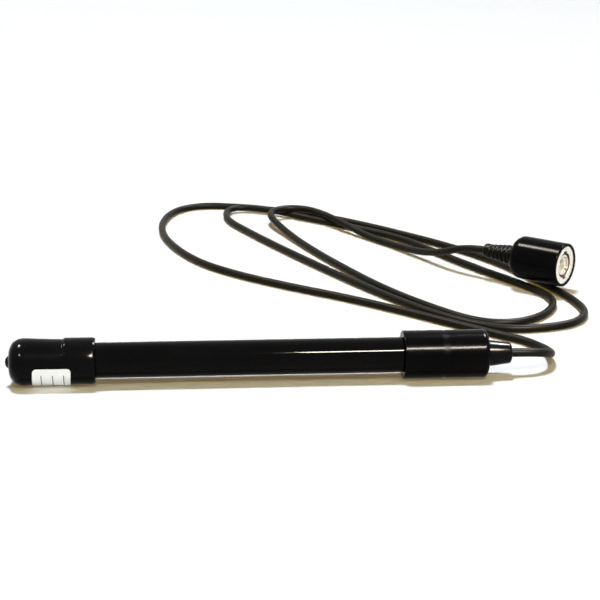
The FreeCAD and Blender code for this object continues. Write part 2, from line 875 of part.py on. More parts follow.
def centre_pin():
    """Gold pin with a solder cup for the cable's core."""
    body = turned("CentrePin", [
        (pin_back, m.CoreRadius),
        (pin_back, m.PinCupRadius),
        (pin_step, m.PinCupRadius),
        (pin_step, m.PinRadius),
        (pin_front, m.PinRadius),
        (pin_front, ZERO),
        (core_end, ZERO),
        (core_end, m.CoreRadius),
    ])
    soften(body, "Fillet", m.PinRound, pin_front, m.PinRadius)
    keep(body, "centre_pin", on_plug)


def clip_and_gasket():
    """Retaining clip behind the sleeve, and the gasket on the body's flange."""
    clip = turned("RetainingClip", [
        (clip_back, m.ClipSeatRadius),
        (clip_back, m.ClipRadius),
        (clip_front, m.ClipRadius),
        (clip_front, m.ClipSeatRadius),
    ], m.ClipTurn)
    keep(clip, "retaining_clip", on_plug)
    front = flange_front + m.GasketThickness
    gasket = ring("Gasket", flange_front, front, m.BarrelRadius, m.BodyFlangeRadius)
    keep(gasket, "plug_gasket", on_plug)


def washers():
    """Thrust washer, and the wave washer that pushes the sleeve back."""
    inner = m.NeckRadius + m.WasherFit
    outer = m.SleeveBore - m.WasherFit
    thrust = ring("ThrustWasher", washer_back, washer_front, inner, outer)
    keep(thrust, "thrust_washer", on_plug)
    inner = m.NeckRadius + m.SpringFit
    rims = [wave_rim(radius.value) for radius in (inner, m.BodyFlangeRadius)]
    strip = Part.makeRuledSurface(*rims)
    spring = strip.extrude(Vector(m.SpringThickness.value, 0, 0))
    if spring.ShapeType != "Solid":
        spring = Part.Solid(spring)
    keep(shaped("WaveWasher", spring), "wave_washer", on_plug)


def wave_rim(radius):
    """One rim of the wave washer, a closed smooth curve."""
    swing = (m.SpringHeight - m.SpringThickness).value / 2
    points = []
    for index in range(WAVE_POINTS):
        angle = 2 * math.pi * index / WAVE_POINTS
        along = spring_back.value + swing * (1 + math.cos(SPRING_WAVES * angle))
        points.append(Vector(along, radius * math.cos(angle), radius * math.sin(angle)))
    curve = Part.BSplineCurve()
    curve.interpolate(points, PeriodicFlag=True)
    return curve.toShape()


def bayonet_slots():
    """Milled track of the bayonet: an entry, a ramp and a round rest for the stud."""
    half = m.SlotWidth.value / 2
    low = m.BarrelRadius.value
    floor = (m.SleeveBore + m.SlotDepth).value
    high = (m.SleeveBore + m.SlotDepth * 2).value
    turn_at = (sleeve_front - m.SlotEntry).value
    rest_at = turn_at - m.SlotRise.value
    upward = Vector(0, 0, 1)
    entry_size = (sleeve_front.value + half - turn_at, 2 * half, high - low)
    entry = Part.makeBox(*entry_size, Vector(turn_at, -half, low))
    corner = Part.makeCylinder(half, high - low, Vector(turn_at, 0, low), upward)
    rest = Part.makeCylinder(m.DetentRadius.value, high - low, Vector(rest_at, 0, low), upward)
    rest.rotate(Vector(0, 0, 0), Vector(1, 0, 0), m.SlotTurn.value)
    track = entry.fuse([corner, ramp(half, low, high, turn_at), rest])
    limit = Part.makeCylinder(floor, m.SleeveLength.value, Vector(sleeve_back.value, 0, 0), Vector(1, 0, 0))
    track = track.common(limit)
    copies = []
    for index in range(BAYONET_SLOTS):
        copy = track.copy()
        copy.rotate(Vector(0, 0, 0), Vector(1, 0, 0), 360.0 * index / BAYONET_SLOTS)
        copies.append(copy)
    return Part.makeCompound(copies)


def ramp(half, low, high, turn_at):
    """Helical stretch of the bayonet track, square to the sleeve's axis."""
    rise = m.SlotRise.value
    turn = m.SlotTurn.value
    middle = (low + high) / 2
    pitch = rise * 360.0 / turn
    helix = Part.makeHelix(pitch, rise, middle)
    lead = math.atan2(pitch, 2 * math.pi * middle)
    along = Vector(0, -math.sin(lead), math.cos(lead)) * half
    corners = [
        Vector(low, 0, 0) - along,
        Vector(high, 0, 0) - along,
        Vector(high, 0, 0) + along,
        Vector(low, 0, 0) + along,
    ]
    section = Part.makePolygon(corners + corners[:1])
    solid = Part.Wire(helix.Edges).makePipeShell([section], True, True)
    # The helix rises along Z from the X side: turn it to run back along -X from the top
    place = Placement(Vector(turn_at, 0, 0), Rotation(Vector(0, 0, 1), Vector(-1, 0, 0)))
    start = place.Rotation.multVec(Vector(1, 0, 0))
    swing = math.degrees(math.atan2(start.y, start.z))
    place.Rotation = Rotation(Vector(1, 0, 0), swing) * place.Rotation
    solid.Placement = place
    return solid


def coupling_sleeve():
    """Nickel sleeve that turns on the body's neck, with the bayonet track in its bore."""
    flange_end = sleeve_back + m.SleeveFlange
    body = turned("SleeveBlank", [
        (sleeve_back, m.NeckRadius + m.SleeveFit),
        (sleeve_back, grip_bore),
        (sleeve_front, grip_bore),
        (sleeve_front, m.SleeveBore),
        (flange_end, m.SleeveBore),
        (flange_end, m.NeckRadius + m.SleeveFit),
    ])
    soften(body, "Chamfer", m.SleeveEdge, sleeve_front, m.SleeveBore)
    cut = doc.addObject("Part::Cut", "CouplingSleeve")
    cut.Base = body
    cut.Tool = shaped("BayonetSlots", bayonet_slots())
    doc.recompute()
    if cut.Shape.Volume > body.Shape.Volume - 1:
        raise ValueError("the bayonet slots cut nothing")
    keep(cut, "coupling_sleeve", on_plug)


def coupling_grip():
    """Black grip over the sleeve, with a rounded back and a clear hole for the boot."""
    hole = m.BootRootRadius + m.BootGap
    ledge = grip_bore - m.GripLedge
    back_inner = m.BootLength + m.GripBackWall
    body = turned("CouplingGrip", [
        (m.BootLength, hole),
        (m.BootLength, m.GripBackRadius),
        (grip_front, m.GripRadius),
        (grip_front, grip_bore),
        (sleeve_back, grip_bore),
        (sleeve_back, ledge),
        (back_inner, ledge),
        (back_inner, hole),
    ])
    soften(body, "Fillet", m.GripBackRound, m.BootLength, m.GripBackRadius)
    soften(body, "Fillet", m.GripFrontRound, grip_front, m.GripRadius)
    keep(body, "coupling_grip", on_plug)


def build():
    """Model every piece, then work out the whole document."""
    protective_cap()
    cap_label()
    electrode_tube()
    stem_and_tip()
    seals()
    reference_electrode()
    head_wiring()
    head_shell()
    o_ring()
    cable_gland()
    cable()
    cable_boot()
    plug_cable_end()
    crimp_ferrule()
    plug_body()
    insulator()
    centre_pin()
    clip_and_gasket()
    washers()
    coupling_sleeve()
    coupling_grip()
    doc.recompute()


def check():
    """Stop if anything in the document failed, or a piece isn't a sound solid."""
    for thing in doc.Objects:
        if {"Invalid", "Error"} & set(thing.State):
            raise ValueError(f"{thing.Name} failed: {thing.State}")
    for thing in parts:
        shape = thing.Shape
        if shape.isNull() or not shape.isValid() or not shape.Solids:
            raise ValueError(f"{thing.Label} is not a sound solid")


def write():
    """Write each piece to its own file."""
    os.makedirs("parts", exist_ok=True)
    for thing in parts:
        thing.Shape.exportStep(f"parts/{thing.Label}.step")
        box = thing.Shape.BoundBox
        size = f"{box.XLength:.1f} x {box.YLength:.1f} x {box.ZLength:.1f}"
        print(f"{thing.Label}: {len(thing.Shape.Solids)} solid, {thing.Shape.Volume:.1f} mm3, {size}")


build()
check()
write()
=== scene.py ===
"""The looks of a redox electrode: a capped black probe, its thin cable and a bayonet plug."""
import json
import math

import bmesh
import bpy
from mathutils import Matrix, Vector, noise


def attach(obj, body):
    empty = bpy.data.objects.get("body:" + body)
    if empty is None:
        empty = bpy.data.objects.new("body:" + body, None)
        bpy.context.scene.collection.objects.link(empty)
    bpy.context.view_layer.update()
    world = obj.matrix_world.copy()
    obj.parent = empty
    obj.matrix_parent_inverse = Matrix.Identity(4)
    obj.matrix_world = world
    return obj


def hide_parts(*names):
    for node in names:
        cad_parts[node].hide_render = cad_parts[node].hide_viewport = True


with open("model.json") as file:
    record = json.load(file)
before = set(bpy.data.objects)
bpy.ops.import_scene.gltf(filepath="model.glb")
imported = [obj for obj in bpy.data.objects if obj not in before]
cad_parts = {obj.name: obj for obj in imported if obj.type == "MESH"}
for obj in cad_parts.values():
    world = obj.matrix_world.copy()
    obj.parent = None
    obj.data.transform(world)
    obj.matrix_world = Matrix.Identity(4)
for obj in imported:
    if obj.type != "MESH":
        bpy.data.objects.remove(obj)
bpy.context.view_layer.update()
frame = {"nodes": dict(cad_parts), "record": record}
MM = 0.001

# Camera, fitted to the probe's ends, the plug's rim and the cable in the photograph
CAMERA_TARGET = Vector((18.79, 64.41, 8.4)) * MM
CAMERA_DISTANCE = 614.66 * MM
CAMERA_ELEVATION = math.radians(17.0)
CAMERA_HEADING = math.radians(5.255)
CAMERA_ROLL = math.radians(0.651)
CAMERA_LENS = 98.12
SENSOR_WIDTH = 36.0

# Cable, from the gland round its loops to the plug's boot
CABLE_DIAMETER = 3.0 * MM
SECTION_RESOLUTION = 6
ROUTE_RESOLUTION = 12
CABLE_ROUTE = [
    (85.5, 0.0, 8.2), (92.5, 0.0, 8.2), (99.5, 3.5, 6.6), (103.0, 12.0, 3.4),
    (103.0, 23.0, 1.6), (97.5, 33.0, 1.6), (88.5, 40.5, 1.6), (76.0, 53.0, 1.6),
    (59.5, 70.0, 1.6), (39.0, 89.0, 1.6), (18.5, 105.0, 1.6), (-1.0, 122.5, 1.6),
    (-17.5, 143.0, 1.6), (-29.5, 175.0, 1.6), (-33.0, 205.5, 1.6), (-27.0, 232.5, 1.6),
    (-14.5, 243.5, 1.6), (2.0, 241.5, 1.6), (22.0, 233.0, 1.6), (46.5, 217.5, 1.6),
    (71.0, 191.5, 1.6), (93.5, 163.5, 1.6), (109.9, 136.8, 1.6), (121.6, 104.4, 1.6),
    (128.5, 81.6, 1.6), (129.3, 64.3, 1.6), (122.0, 52.0, 1.6), (110.0, 47.0, 1.6),
    (96.0, 45.5, 1.6), (83.5, 51.5, 1.6), (69.5, 67.0, 1.6), (53.5, 93.5, 1.6),
    (34.5, 131.0, 1.6), (15.5, 172.0, 1.6), (5.5, 196.0, 1.6), (-0.8, 212.0, 1.6),
    (-2.0, 224.0, 1.7), (-0.3, 232.5, 2.2), (5.8, 235.8, 2.5), (13.0, 233.6, 2.5),
    (21.0, 229.0, 2.4), (31.0, 220.3, 1.9), (51.5, 202.0, 1.6), (74.0, 179.0, 1.6),
    (86.5, 152.0, 1.6), (100.5, 124.5, 1.6), (114.5, 100.0, 1.6), (120.0, 86.5, 1.6),
    (119.0, 74.5, 1.6), (112.0, 62.0, 1.6), (101.5, 54.0, 1.6), (91.0, 53.0, 1.6),
    (81.5, 59.0, 1.6), (70.0, 75.0, 1.6), (55.5, 100.5, 1.6), (41.0, 136.5, 1.6),
    (29.5, 170.0, 1.6), (23.0, 191.0, 2.6), (19.3, 202.5, 4.1), (18.0, 209.0, 4.8),
    (18.8, 215.5, 4.9), (22.3, 220.8, 4.9), (28.1, 223.2, 4.9), (34.3, 221.9, 4.9),
    (39.1, 217.0, 4.9), (44.8, 207.2, 4.8), (52.8, 193.0, 3.4), (60.3, 180.6, 1.6),
    (69.4, 166.3, 1.6), (78.5, 149.0, 2.9), (86.0, 134.0, 7.1), (92.5, 125.33, 11.5),
    (99.88, 118.69, 12.1),
]

# Axes: the probe's, from the tip of the cap's nub, and the plug's, from the cable's end
PROBE_START = Vector((-85.5, 0.0, 8.2)) * MM
PLUG_START = Vector(CABLE_ROUTE[-1]) * MM
PLUG_YAW = math.radians(-42.0)
PROBE = Matrix.Translation(PROBE_START) @ Matrix.Scale(MM, 4)
PLUG = Matrix.Translation(PLUG_START) @ Matrix.Rotation(PLUG_YAW, 4, "Z") @ Matrix.Scale(MM, 4)

# Outlines are rows of station along the axis, radius and corner round, in millimetres
TURN_STEPS = 96
ROUND_STEPS = 6
MERGE_DISTANCE = 1e-5
AXIS_TOLERANCE = 1e-6
SHARP_ANGLE = math.radians(40.0)

# Cap, in millimetres from the nub's tip
CAP_SAG = 0.1           # how far the soft cap hangs below the probe's axis
CAP_BORE = 5.8
CAP_CAVITY = 3.6        # where the bore starts
CAP_END = 29.95
CAP_OUTLINE = [
    (0.0, 1.3, 0.8), (1.3, 2.3, 0.5), (1.25, 8.3, 5.2), (9.4, 7.8, 2.4), (19.2, 7.4, 0.3),
    (19.7, 7.9, 0.3), (29.3, 7.9, 0.5), (CAP_END, 7.55, 0.35), (CAP_END, CAP_BORE, 0.2),
    (CAP_CAVITY, CAP_BORE, 1.5),
]
CAP_LONGEST_EDGE = 0.8
BORE_MARGIN = 1.0       # the skin that ripples starts this far from the bore
CAP_RIPPLE = 0.06       # unevenness of the dipped vinyl
RIPPLE_SCALE = 0.16
DENT_DEPTH = 0.42       # thumb dent at the lip
DENT_START, DENT_END = 26.6, 29.9
DENT_ANGLE, DENT_SPREAD = math.radians(33.0), math.radians(20.0)

# Label on the cap, with the heights above the floor between which its lines run
LABEL_START, LABEL_END = 9.4, 22.0
LABEL_RADII = (7.92, 8.04)      # at its start and at its end
LABEL_SKEW = -0.5
LABEL_THICKNESS = 0.11
LABEL_TOP = math.radians(0.4)
LABEL_BOTTOM = math.radians(78.0)
LABEL_ROUND = 1.3
LABEL_CUTS = 30
LABEL_LINES = (12.2, 16.0, 19.6)
LINE_WIDTH = 0.32
LINE_BLUR = 0.08
LINE_TOP, LINE_BOTTOM = 5.7, 0.9

# Gland at the head's end, and the boot on the plug
GLAND_OUTLINE = [
    (155.6, 1.5, 0.0), (155.6, 4.4, 0.2), (157.4, 4.4, 0.2), (157.4, 3.0, 0.0), (162.6, 3.0, 0.0),
    (162.6, 4.6, 0.35), (171.0, 3.55, 1.0), (171.0, 1.5, 0.1),
]
BOOT_BULB = [(0.0, 1.5, 0.1), (0.0, 2.85, 1.3), (3.7, 2.85, 0.7), (3.8, 2.3, 0.15), (4.3, 2.3, 0.15)]
BOOT_TAIL = [(14.6, 4.1, 0.3), (19.6, 4.1, 0.2), (19.6, 2.2, 0.0), (10.6, 2.2, 0.0), (10.6, 1.5, 0.0)]
RIDGES = 5
RIDGE_START, RIDGE_PITCH, RIDGE_LENGTH = 4.3, 2.04, 1.3
RIDGE_ROOT, RIDGE_RISE, RIDGE_DEPTH = 2.8, 0.26, 0.5
RIDGE_ROUND = 0.42
GROOVE_ROUND = 0.12


def place_camera():
    """Look at the object from the photograph's place."""
    rise, turn = CAMERA_ELEVATION, CAMERA_HEADING
    ahead = Vector((math.sin(turn) * math.cos(rise), math.cos(turn) * math.cos(rise), -math.sin(rise)))
    level = Vector((math.cos(turn), -math.sin(turn), 0.0))
    upright = level.cross(ahead)
    right = level * math.cos(CAMERA_ROLL) + upright * math.sin(CAMERA_ROLL)
    up = upright * math.cos(CAMERA_ROLL) - level * math.sin(CAMERA_ROLL)
    data = bpy.data.cameras.new("camera")
    data.lens = CAMERA_LENS
    data.sensor_width = SENSOR_WIDTH
    camera = bpy.data.objects.new("camera", data)
    turned = Matrix((right, up, -ahead)).transposed().to_4x4()
    camera.matrix_world = Matrix.Translation(CAMERA_TARGET - ahead * CAMERA_DISTANCE) @ turned
    bpy.context.scene.collection.objects.link(camera)
    bpy.context.scene.camera = camera


# Shader maths

MIX_SHARE, MIX_FIRST, MIX_SECOND, MIX_COLOUR = 0, 6, 7, 2       # a Mix node's colour sockets


class Sock:
    """A shader value that takes part in plain arithmetic."""

    def __init__(self, tree, link):
        self.tree = tree
        self.link = link

    def math(self, operation, *others, clamp=False):
        """A Math node on this value and others."""
        settings = {"operation": operation, "use_clamp": clamp}
        return add_node(self.tree, "Math", settings, dict(enumerate((self, *others))))

    def __add__(self, other):
        return self.math("ADD", other)

    __radd__ = __add__

    def __mul__(self, other):
        return self.math("MULTIPLY", other)

    __rmul__ = __mul__

    def __sub__(self, other):
        return self.math("SUBTRACT", other)

    def __rsub__(self, other):
        return (self * -1.0) + other

    def __truediv__(self, other):
        return self.math("DIVIDE", other)

    def above(self, limit, soft):
        """0 below a limit, 1 above it, with a soft step between."""
        return ((self - limit) / soft).math("ADD", 0.5, clamp=True)


def put(tree, socket, value):
    """Set a socket to a constant or link a value to it."""
    if isinstance(value, Sock):
        tree.links.new(value.link, socket)
    elif isinstance(value, (tuple, list)) and len(value) == 3 and len(socket.default_value) == 4:
        socket.default_value = (*value, 1.0)
    else:
        socket.default_value = value


def add_node(tree, kind, settings=None, sockets=None, output=0):
    """Any node: its settings first, then its inputs by name or number, and one of its outputs."""
    made = tree.nodes.new("ShaderNode" + kind)
    for name, value in (settings or {}).items():
        setattr(made, name, value)
    for socket, value in (sockets or {}).items():
        put(tree, made.inputs[socket], value)
    return Sock(tree, made.outputs[output])


def mix_colours(tree, share, first, second):
    """A colour between two."""
    sockets = {MIX_SHARE: share, MIX_FIRST: first, MIX_SECOND: second}
    return add_node(tree, "Mix", {"data_type": "RGBA"}, sockets, MIX_COLOUR)


class Finish:
    """A material under construction: its tree, its shader and the nodes that feed it."""

    def __init__(self, name, **constants):
        self.material = bpy.data.materials.new(name)
        self.material.use_nodes = True
        self.tree = self.material.node_tree
        self.shader = self.tree.nodes["Principled BSDF"]
        self.set(**constants)

    def set(self, **values):
        """Set the shader's sockets by name, with spaces written as underscores."""
        for name, value in values.items():
            put(self.tree, self.shader.inputs[name.replace("_", " ")], value)

    def node(self, kind, output=0, **inputs):
        """A node with its inputs by name, with spaces written as underscores."""
        sockets = {name.replace("_", " "): value for name, value in inputs.items()}
        return add_node(self.tree, kind, sockets=sockets, output=output)

    def coords(self, scale=(1, 1, 1)):
        """Object coordinates, stretched."""
        place = self.node("TexCoord", output="Object")
        return self.node("Mapping", Vector=place, Scale=scale)

    def axis(self, index):
        """One of the object coordinates, in metres."""
        place = self.node("TexCoord", output="Object")
        return self.node("SeparateXYZ", Vector=place, output=index)

    def noise(self, scale, detail=2.0, roughness=0.5, stretch=(1, 1, 1)):
        """Noise from 0 to 1, in features per metre."""
        return self.node("TexNoise", Vector=self.coords(stretch), Scale=scale, Detail=detail,
                         Roughness=roughness)

    def mix(self, share, first, second):
        """A colour between two."""
        return mix_colours(self.tree, share, first, second)

    def bump(self, height, distance):
        """Relief from a height, with its depth in metres."""
        self.set(Normal=self.node("Bump", Height=height, Distance=distance, Strength=1.0))


# Finishes

PALE_GAIN, PALE_LIFT = 1.7, 0.0008          # how much paler a black's clouds are
SMEAR_SHARE, STEADY_SHARE = 0.5, 0.75       # parts of a black's roughness that vary and that stay
HEAD_BAND = (61.2 * MM, 63.3 * MM)          # where along X the head is duller
BAND_EDGE = 0.2 * MM
BAND_DULLING = 0.09
TARNISH = 0.82                              # how much of its brightness dull metal keeps
MARKS_ROUGHNESS = 0.12
WAXY_SHADE = 0.85                           # the same for the dim side of a waxy tone
DRIFT_ROUGHNESS = 0.15
FIBRE_SHADE = 0.96                          # the same for the paper's fibres
PAPER_ROUGHNESS, FIBRE_ROUGHNESS = 0.35, 0.2
GLASS_ROUGHNESS, GLASS_SMEAR = 0.02, 0.04


def dark_gloss(name, colour, roughness, specular, wave, grain, band=None):
    """Black plastic or vinyl: slightly wavy, finely grained, with a duller band where asked."""
    finish = Finish(name, Specular_IOR_Level=specular)
    cloud = finish.noise(scale=90.0, detail=3.0)
    pale = tuple(channel * PALE_GAIN + PALE_LIFT for channel in colour)
    finish.set(Base_Color=finish.mix(cloud.above(0.55, soft=0.5), colour, pale))
    smear = finish.noise(scale=260.0, detail=4.0, roughness=0.6, stretch=(0.4, 1.0, 1.0))
    spread = smear * (roughness * SMEAR_SHARE) + roughness * STEADY_SHARE
    if band:
        along = finish.axis(0)
        inside = along.above(band[0], BAND_EDGE) * (1.0 - along.above(band[1], BAND_EDGE))
        spread = spread + inside * BAND_DULLING
    finish.set(Roughness=spread)
    swell = finish.noise(wave[0], detail=1.0) * wave[1]
    finish.bump(swell + finish.noise(grain[0], detail=3.0) * grain[1], distance=1.0)
    return finish.material


def metal(name, colour, roughness):
    """Plated or drawn metal, with faint turning marks and a little tarnish."""
    finish = Finish(name, Metallic=1.0)
    marks = finish.noise(scale=900.0, detail=3.0, roughness=0.6)
    dull = tuple(channel * TARNISH for channel in colour)
    stain = finish.noise(scale=400.0, detail=3.0).above(0.5, soft=0.6)
    finish.set(Base_Color=finish.mix(stain, colour, dull))
    finish.set(Roughness=marks * MARKS_ROUGHNESS + roughness)
    finish.bump(marks, distance=2e-6)
    return finish.material


def plain(name, colour, roughness):
    """A matt or waxy material whose tone drifts a little."""
    finish = Finish(name, Specular_IOR_Level=0.4)
    drift = finish.noise(scale=500.0, detail=3.0)
    dim = tuple(channel * WAXY_SHADE for channel in colour)
    finish.set(Base_Color=finish.mix(drift, colour, dim))
    finish.set(Roughness=drift * DRIFT_ROUGHNESS + roughness)
    finish.bump(finish.noise(scale=2000.0), distance=4e-6)
    return finish.material


def ruled_paper(name, colour, ink):
    """White label paper with a few plain ruled lines across it."""
    finish = Finish(name, Specular_IOR_Level=0.35)
    along, height = finish.axis(0), finish.axis(2)
    blur = LINE_BLUR * MM
    rows = None
    for station in LABEL_LINES:
        centre = PROBE_START.x + station * MM
        row = 1.0 - (along - centre).math("ABSOLUTE").above(LINE_WIDTH / 2 * MM, blur)
        rows = row if rows is None else rows + row
    ruled = rows * (1.0 - height.above(LINE_TOP * MM, blur)) * height.above(LINE_BOTTOM * MM, blur)
    fibre = finish.noise(scale=1800.0, detail=3.0)
    paper = finish.mix(fibre, colour, tuple(channel * FIBRE_SHADE for channel in colour))
    finish.set(Base_Color=finish.mix(ruled, paper, ink), Roughness=fibre * FIBRE_ROUGHNESS + PAPER_ROUGHNESS)
    finish.bump(fibre, distance=6e-6)
    return finish.material


def clear_glass(name):
    """Glass of the inner stem."""
    finish = Finish(name, Base_Color=(0.93, 0.96, 0.95), IOR=1.5, Transmission_Weight=1.0)
    finish.set(Roughness=finish.noise(scale=300.0) * GLASS_SMEAR + GLASS_ROUGHNESS)
    return finish.material


# Blacks: colour, roughness, specular, scale and height of the wave, scale and height of the grain
BLACKS = {
    "cap_vinyl": ((0.0013, 0.0012, 0.0014), 0.15, 0.045, (55.0, 9e-5), (1500.0, 3e-6)),
    "tube_plastic": ((0.0013, 0.0012, 0.0012), 0.05, 0.045, (60.0, 1e-5), (2500.0, 1e-6)),
    "head_plastic": ((0.0014, 0.0013, 0.0013), 0.16, 0.028, (60.0, 2e-5), (2500.0, 2e-6), HEAD_BAND),
    "gland_rubber": ((0.0022, 0.002, 0.0019), 0.2, 0.07, (90.0, 1e-5), (3000.0, 4e-6)),
    "cable_jacket": ((0.0062, 0.0054, 0.0024), 0.42, 0.05, (40.0, 1e-5), (3000.0, 1e-6)),
    "boot_rubber": ((0.0028, 0.0025, 0.0019), 0.3, 0.06, (60.0, 1e-5), (3000.0, 5e-6)),
    "grip_plastic": ((0.0016, 0.0015, 0.0015), 0.17, 0.022, (60.0, 2e-5), (2500.0, 2e-6)),
    "seal_rubber": ((0.006, 0.006, 0.006), 0.5, 0.3, (90.0, 1e-5), (4000.0, 4e-6)),
}

# Metals, and matt or waxy materials: colour and roughness
METALS = {
    "nickel": ((0.80, 0.77, 0.70), 0.2),
    "gold_plate": ((0.88, 0.70, 0.38), 0.2),
    "platinum": ((0.72, 0.71, 0.69), 0.15),
    "silver": ((0.80, 0.79, 0.76), 0.22),
    "copper": ((0.82, 0.45, 0.30), 0.25),
    "spring_steel": ((0.60, 0.59, 0.56), 0.25),
}
PLAINS = {
    "white_insulator": ((0.84, 0.83, 0.79), 0.4),
    "silver_chloride": ((0.16, 0.13, 0.14), 0.8),
    "seal_resin": ((0.60, 0.56, 0.42), 0.35),
    "porous_ceramic": ((0.78, 0.76, 0.70), 0.85),
    "core_insulation": ((0.80, 0.79, 0.74), 0.45),
}
PAPER_WHITE, LINE_INK = (0.93, 0.94, 0.92), (0.10, 0.11, 0.22)

MATERIALS = {name: dark_gloss(name, *values) for name, values in BLACKS.items()}
MATERIALS["label_paper"] = ruled_paper("label_paper", PAPER_WHITE, LINE_INK)
MATERIALS.update((name, metal(name, *values)) for name, values in METALS.items())
MATERIALS.update((name, plain(name, *values)) for name, values in PLAINS.items())
MATERIALS["clear_glass"] = clear_glass("clear_glass")


def dress_nodes():
    """Give every node of the frame its slot's finish."""
    slots = {row["node"]: row["material_slot"] for row in frame["record"]["subparts"]}
    for name, thing in frame["nodes"].items():
        thing.data.materials.clear()
        thing.data.materials.append(MATERIALS[slots[name]])


# Pieces


def outlined(points):
    """A flat face through stations and radii, with each corner rounded as asked."""
    build = bmesh.new()
    corners = [build.verts.new((station, radius, 0.0)) for station, radius, _ in points]
    build.faces.new(corners)
    for corner, (_, _, corner_round) in zip(corners, points):
        if corner_round:
            bmesh.ops.bevel(build, geom=[corner], offset=corner_round, offset_type="OFFSET",
                            segments=ROUND_STEPS, profile=0.5, affect="VERTICES", material=-1)
    return build


def spin_outline(build, longest=None):
    """Turn a flat outline about the X axis into a closed skin."""
    on_axis = [edge for edge in build.edges if all(abs(vert.co.y) < AXIS_TOLERANCE for vert in edge.verts)]
    bmesh.ops.delete(build, geom=list(build.faces), context="FACES_ONLY")
    bmesh.ops.delete(build, geom=on_axis, context="EDGES")
    if longest:
        for edge in list(build.edges):
            cuts = int(edge.calc_length() / longest)
            if cuts:
                bmesh.ops.subdivide_edges(build, edges=[edge], cuts=cuts)
    bmesh.ops.spin(build, geom=list(build.verts) + list(build.edges), cent=(0, 0, 0), axis=(1, 0, 0),
                   angle=math.tau, steps=TURN_STEPS, use_merge=True)
    bmesh.ops.remove_doubles(build, verts=list(build.verts), dist=MERGE_DISTANCE)
    bmesh.ops.recalc_face_normals(build, faces=list(build.faces))


def finish_piece(build, name, place, node, body, slot):
    """Put a modelled piece in its place, in the stead of its node."""
    bmesh.ops.transform(build, matrix=place, verts=list(build.verts))
    mesh = bpy.data.meshes.new(name)
    build.to_mesh(mesh)
    build.free()
    for face in mesh.polygons:
        face.use_smooth = True
    mesh.set_sharp_from_angle(angle=SHARP_ANGLE)
    mesh.materials.append(MATERIALS[slot])
    piece = bpy.data.objects.new(name, mesh)
    bpy.context.scene.collection.objects.link(piece)
    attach(piece, body)
    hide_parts(node)
    return piece


def vinyl_cap():
    """Dipped cap: an uneven skin that sags a little on the probe's end."""
    axis_ends = [(CAP_CAVITY, 0.0, 0.0), (0.0, 0.0, 0.0)]
    build = outlined(CAP_OUTLINE + axis_ends)
    spin_outline(build, longest=CAP_LONGEST_EDGE)
    outside = [vert for vert in build.verts
               if vert.co.x < CAP_CAVITY - BORE_MARGIN or vert.co.yz.length > CAP_BORE + BORE_MARGIN]
    for vert in outside:
        ripple = CAP_RIPPLE * abs(noise.noise(vert.co * RIPPLE_SCALE))
        share = min(max((vert.co.x - DENT_START) / (DENT_END - DENT_START), 0.0), 1.0)
        turn = (math.atan2(vert.co.z, -vert.co.y) - DENT_ANGLE) / DENT_SPREAD
        dent = DENT_DEPTH * share ** 2 * math.exp(-turn ** 2)
        vert.co -= Vector((0.0, vert.co.y, vert.co.z)).normalized() * (ripple + dent)
    bmesh.ops.translate(build, vec=(0.0, 0.0, -CAP_SAG), verts=outside)
    finish_piece(build, "vinyl_cap", PROBE, "protective_cap", "cap", "cap_vinyl")


def paper_label():
    """Thin label with round corners, bent round the front of the cap."""
    middle = sum(LABEL_RADII) / 2
    top, bottom = LABEL_TOP * middle, LABEL_BOTTOM * middle
    build = outlined([(LABEL_START, top, LABEL_ROUND), (LABEL_END, top, LABEL_ROUND),
                      (LABEL_END, bottom, LABEL_ROUND), (LABEL_START, bottom, LABEL_ROUND)])
    for cut in range(1, LABEL_CUTS):
        height = top + (bottom - top) * cut / LABEL_CUTS
        bmesh.ops.bisect_plane(build, geom=list(build.verts) + list(build.edges) + list(build.faces),
                               plane_co=(0.0, height, 0.0), plane_no=(0.0, 1.0, 0.0))
    for vert in build.verts:
        share = (vert.co.x - LABEL_START) / (LABEL_END - LABEL_START)
        radius = LABEL_RADII[0] + (LABEL_RADII[1] - LABEL_RADII[0]) * share
        angle = vert.co.y / middle
        vert.co.x += LABEL_SKEW * angle / LABEL_BOTTOM
        vert.co.yz = (-radius * math.cos(angle), -radius * math.sin(angle) - CAP_SAG)
    bmesh.ops.recalc_face_normals(build, faces=list(build.faces))
    bmesh.ops.solidify(build, geom=list(build.faces), thickness=LABEL_THICKNESS)
    bmesh.ops.recalc_face_normals(build, faces=list(build.faces))
    finish_piece(build, "paper_label", PROBE, "cap_label", "cap", "label_paper")


def rubber_gland():
    """Tapered strain relief with its flange inside the head."""
    build = outlined(GLAND_OUTLINE)
    spin_outline(build)
    finish_piece(build, "rubber_gland", PROBE, "cable_gland", "electrode", "gland_rubber")


def ribbed_boot():
    """Soft boot: a bulb, rounded ridges that grow, and a collar inside the grip."""
    points = list(BOOT_BULB)
    for index in range(RIDGES):
        start = RIDGE_START + RIDGE_PITCH * index
        crest = RIDGE_ROOT + RIDGE_RISE * (index + 1)
        end = start + RIDGE_LENGTH
        floor = crest - RIDGE_DEPTH
        points += [(start, crest, RIDGE_ROUND), (end, crest, RIDGE_ROUND), (end, floor, GROOVE_ROUND)]
        if index < RIDGES - 1:
            points.append((start + RIDGE_PITCH, floor, GROOVE_ROUND))
    points += [(BOOT_TAIL[0][0], points[-1][1], GROOVE_ROUND)] + BOOT_TAIL
    build = outlined(points)
    spin_outline(build)
    return finish_piece(build, "ribbed_boot", PLUG, "cable_boot", "electrode", "boot_rubber")


